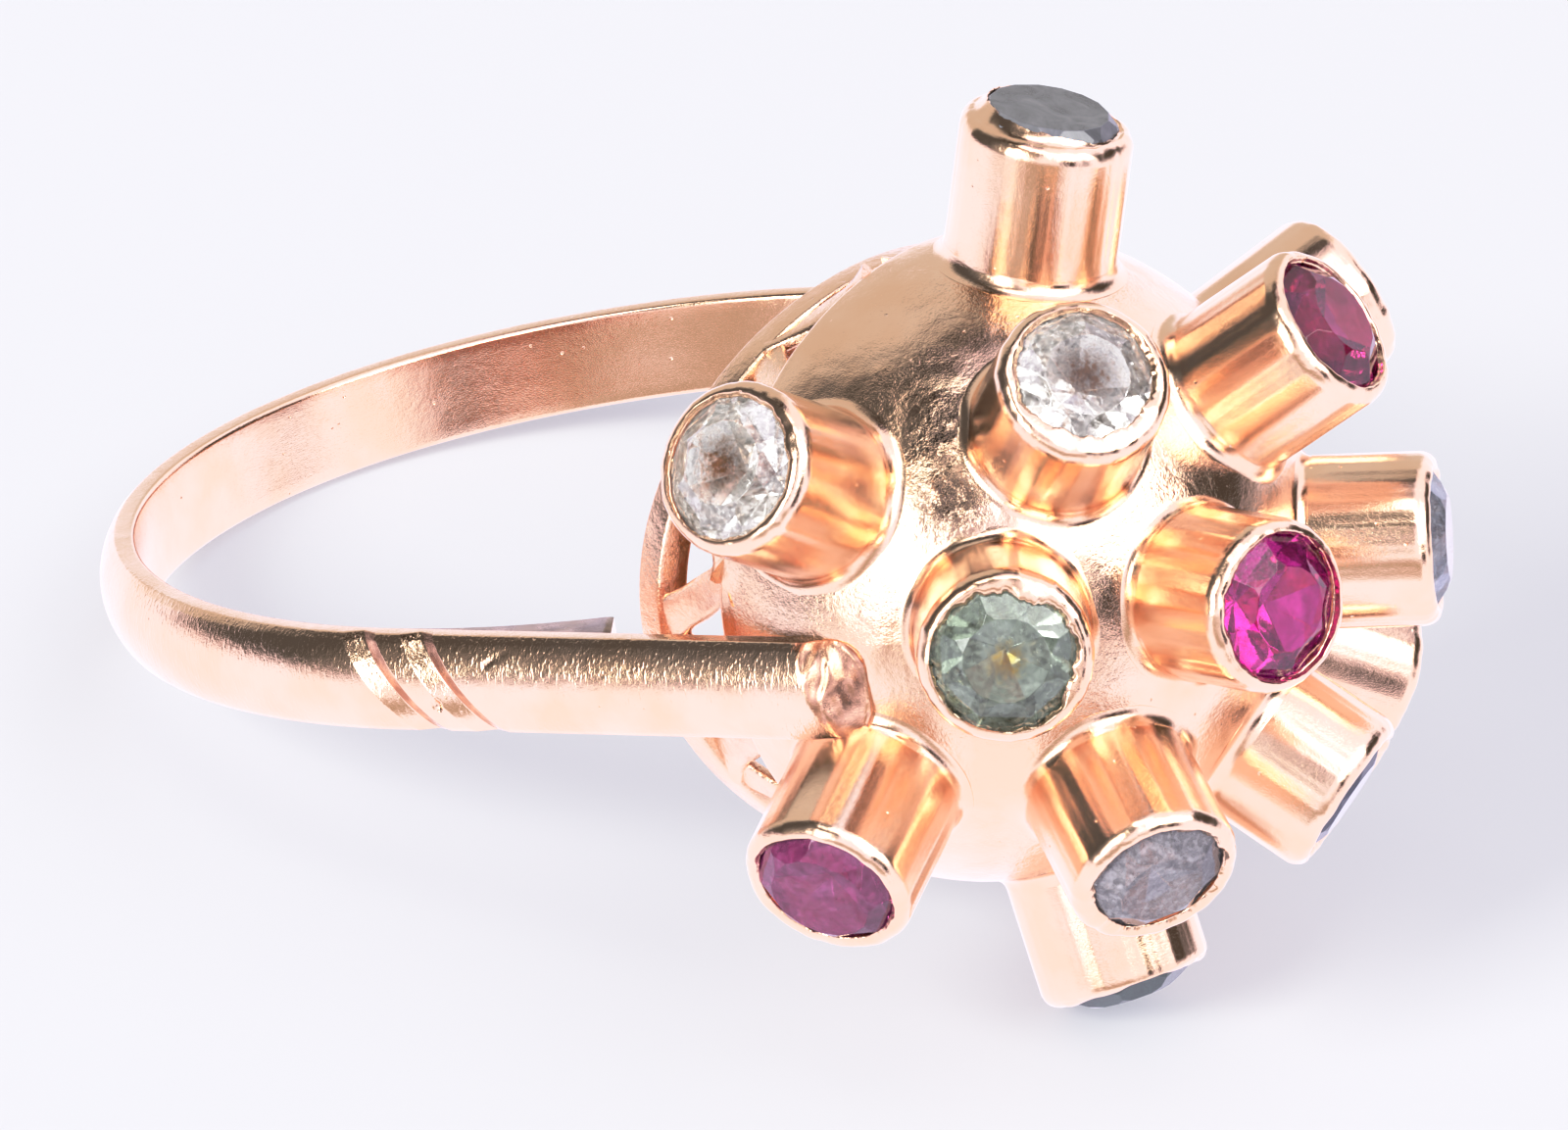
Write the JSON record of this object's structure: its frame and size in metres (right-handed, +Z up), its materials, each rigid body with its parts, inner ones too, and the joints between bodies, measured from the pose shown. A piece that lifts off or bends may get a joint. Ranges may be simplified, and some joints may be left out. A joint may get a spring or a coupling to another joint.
{
  "type": "gemstone cluster ring",
  "caption": "Gold ring lying on its side: round cut stones in tube collets stand out of a domed head over an open gallery, on a thin half-round shank.",
  "frame": {"origin": "on the surface that the ring lies on, under the middle of its outline", "axes": "+Z up from the surface, +X from the back of the shank towards the domed head; the finger's axis leans back about 19 degrees from +Z"},
  "size_m": [0.026, 0.0198, 0.0157],
  "materials": {
    "rose_gold": "polished rose gold",
    "ruby": "faceted cut stone",
    "colourless": "faceted cut stone",
    "sage_green": "faceted cut stone",
    "slate_grey": "faceted cut stone",
    "dark_blue": "faceted cut stone",
    "pale_blue": "faceted cut stone",
    "purple_ruby": "faceted cut stone",
    "dark_green": "faceted cut stone"
  },
  "bodies": {
    "root": {"ring_mount": "rose_gold", "stone_centre": "ruby", "stone_inner_1": "colourless", "stone_inner_2": "sage_green", "stone_inner_3": "slate_grey", "stone_inner_4": "dark_blue", "stone_inner_5": "pale_blue", "stone_inner_6": "ruby", "stone_outer_1": "dark_blue", "stone_outer_2": "colourless", "stone_outer_3": "purple_ruby", "stone_outer_4": "dark_green", "stone_outer_5": "dark_blue", "stone_outer_6": "sage_green"}
  },
  "joints": []
}
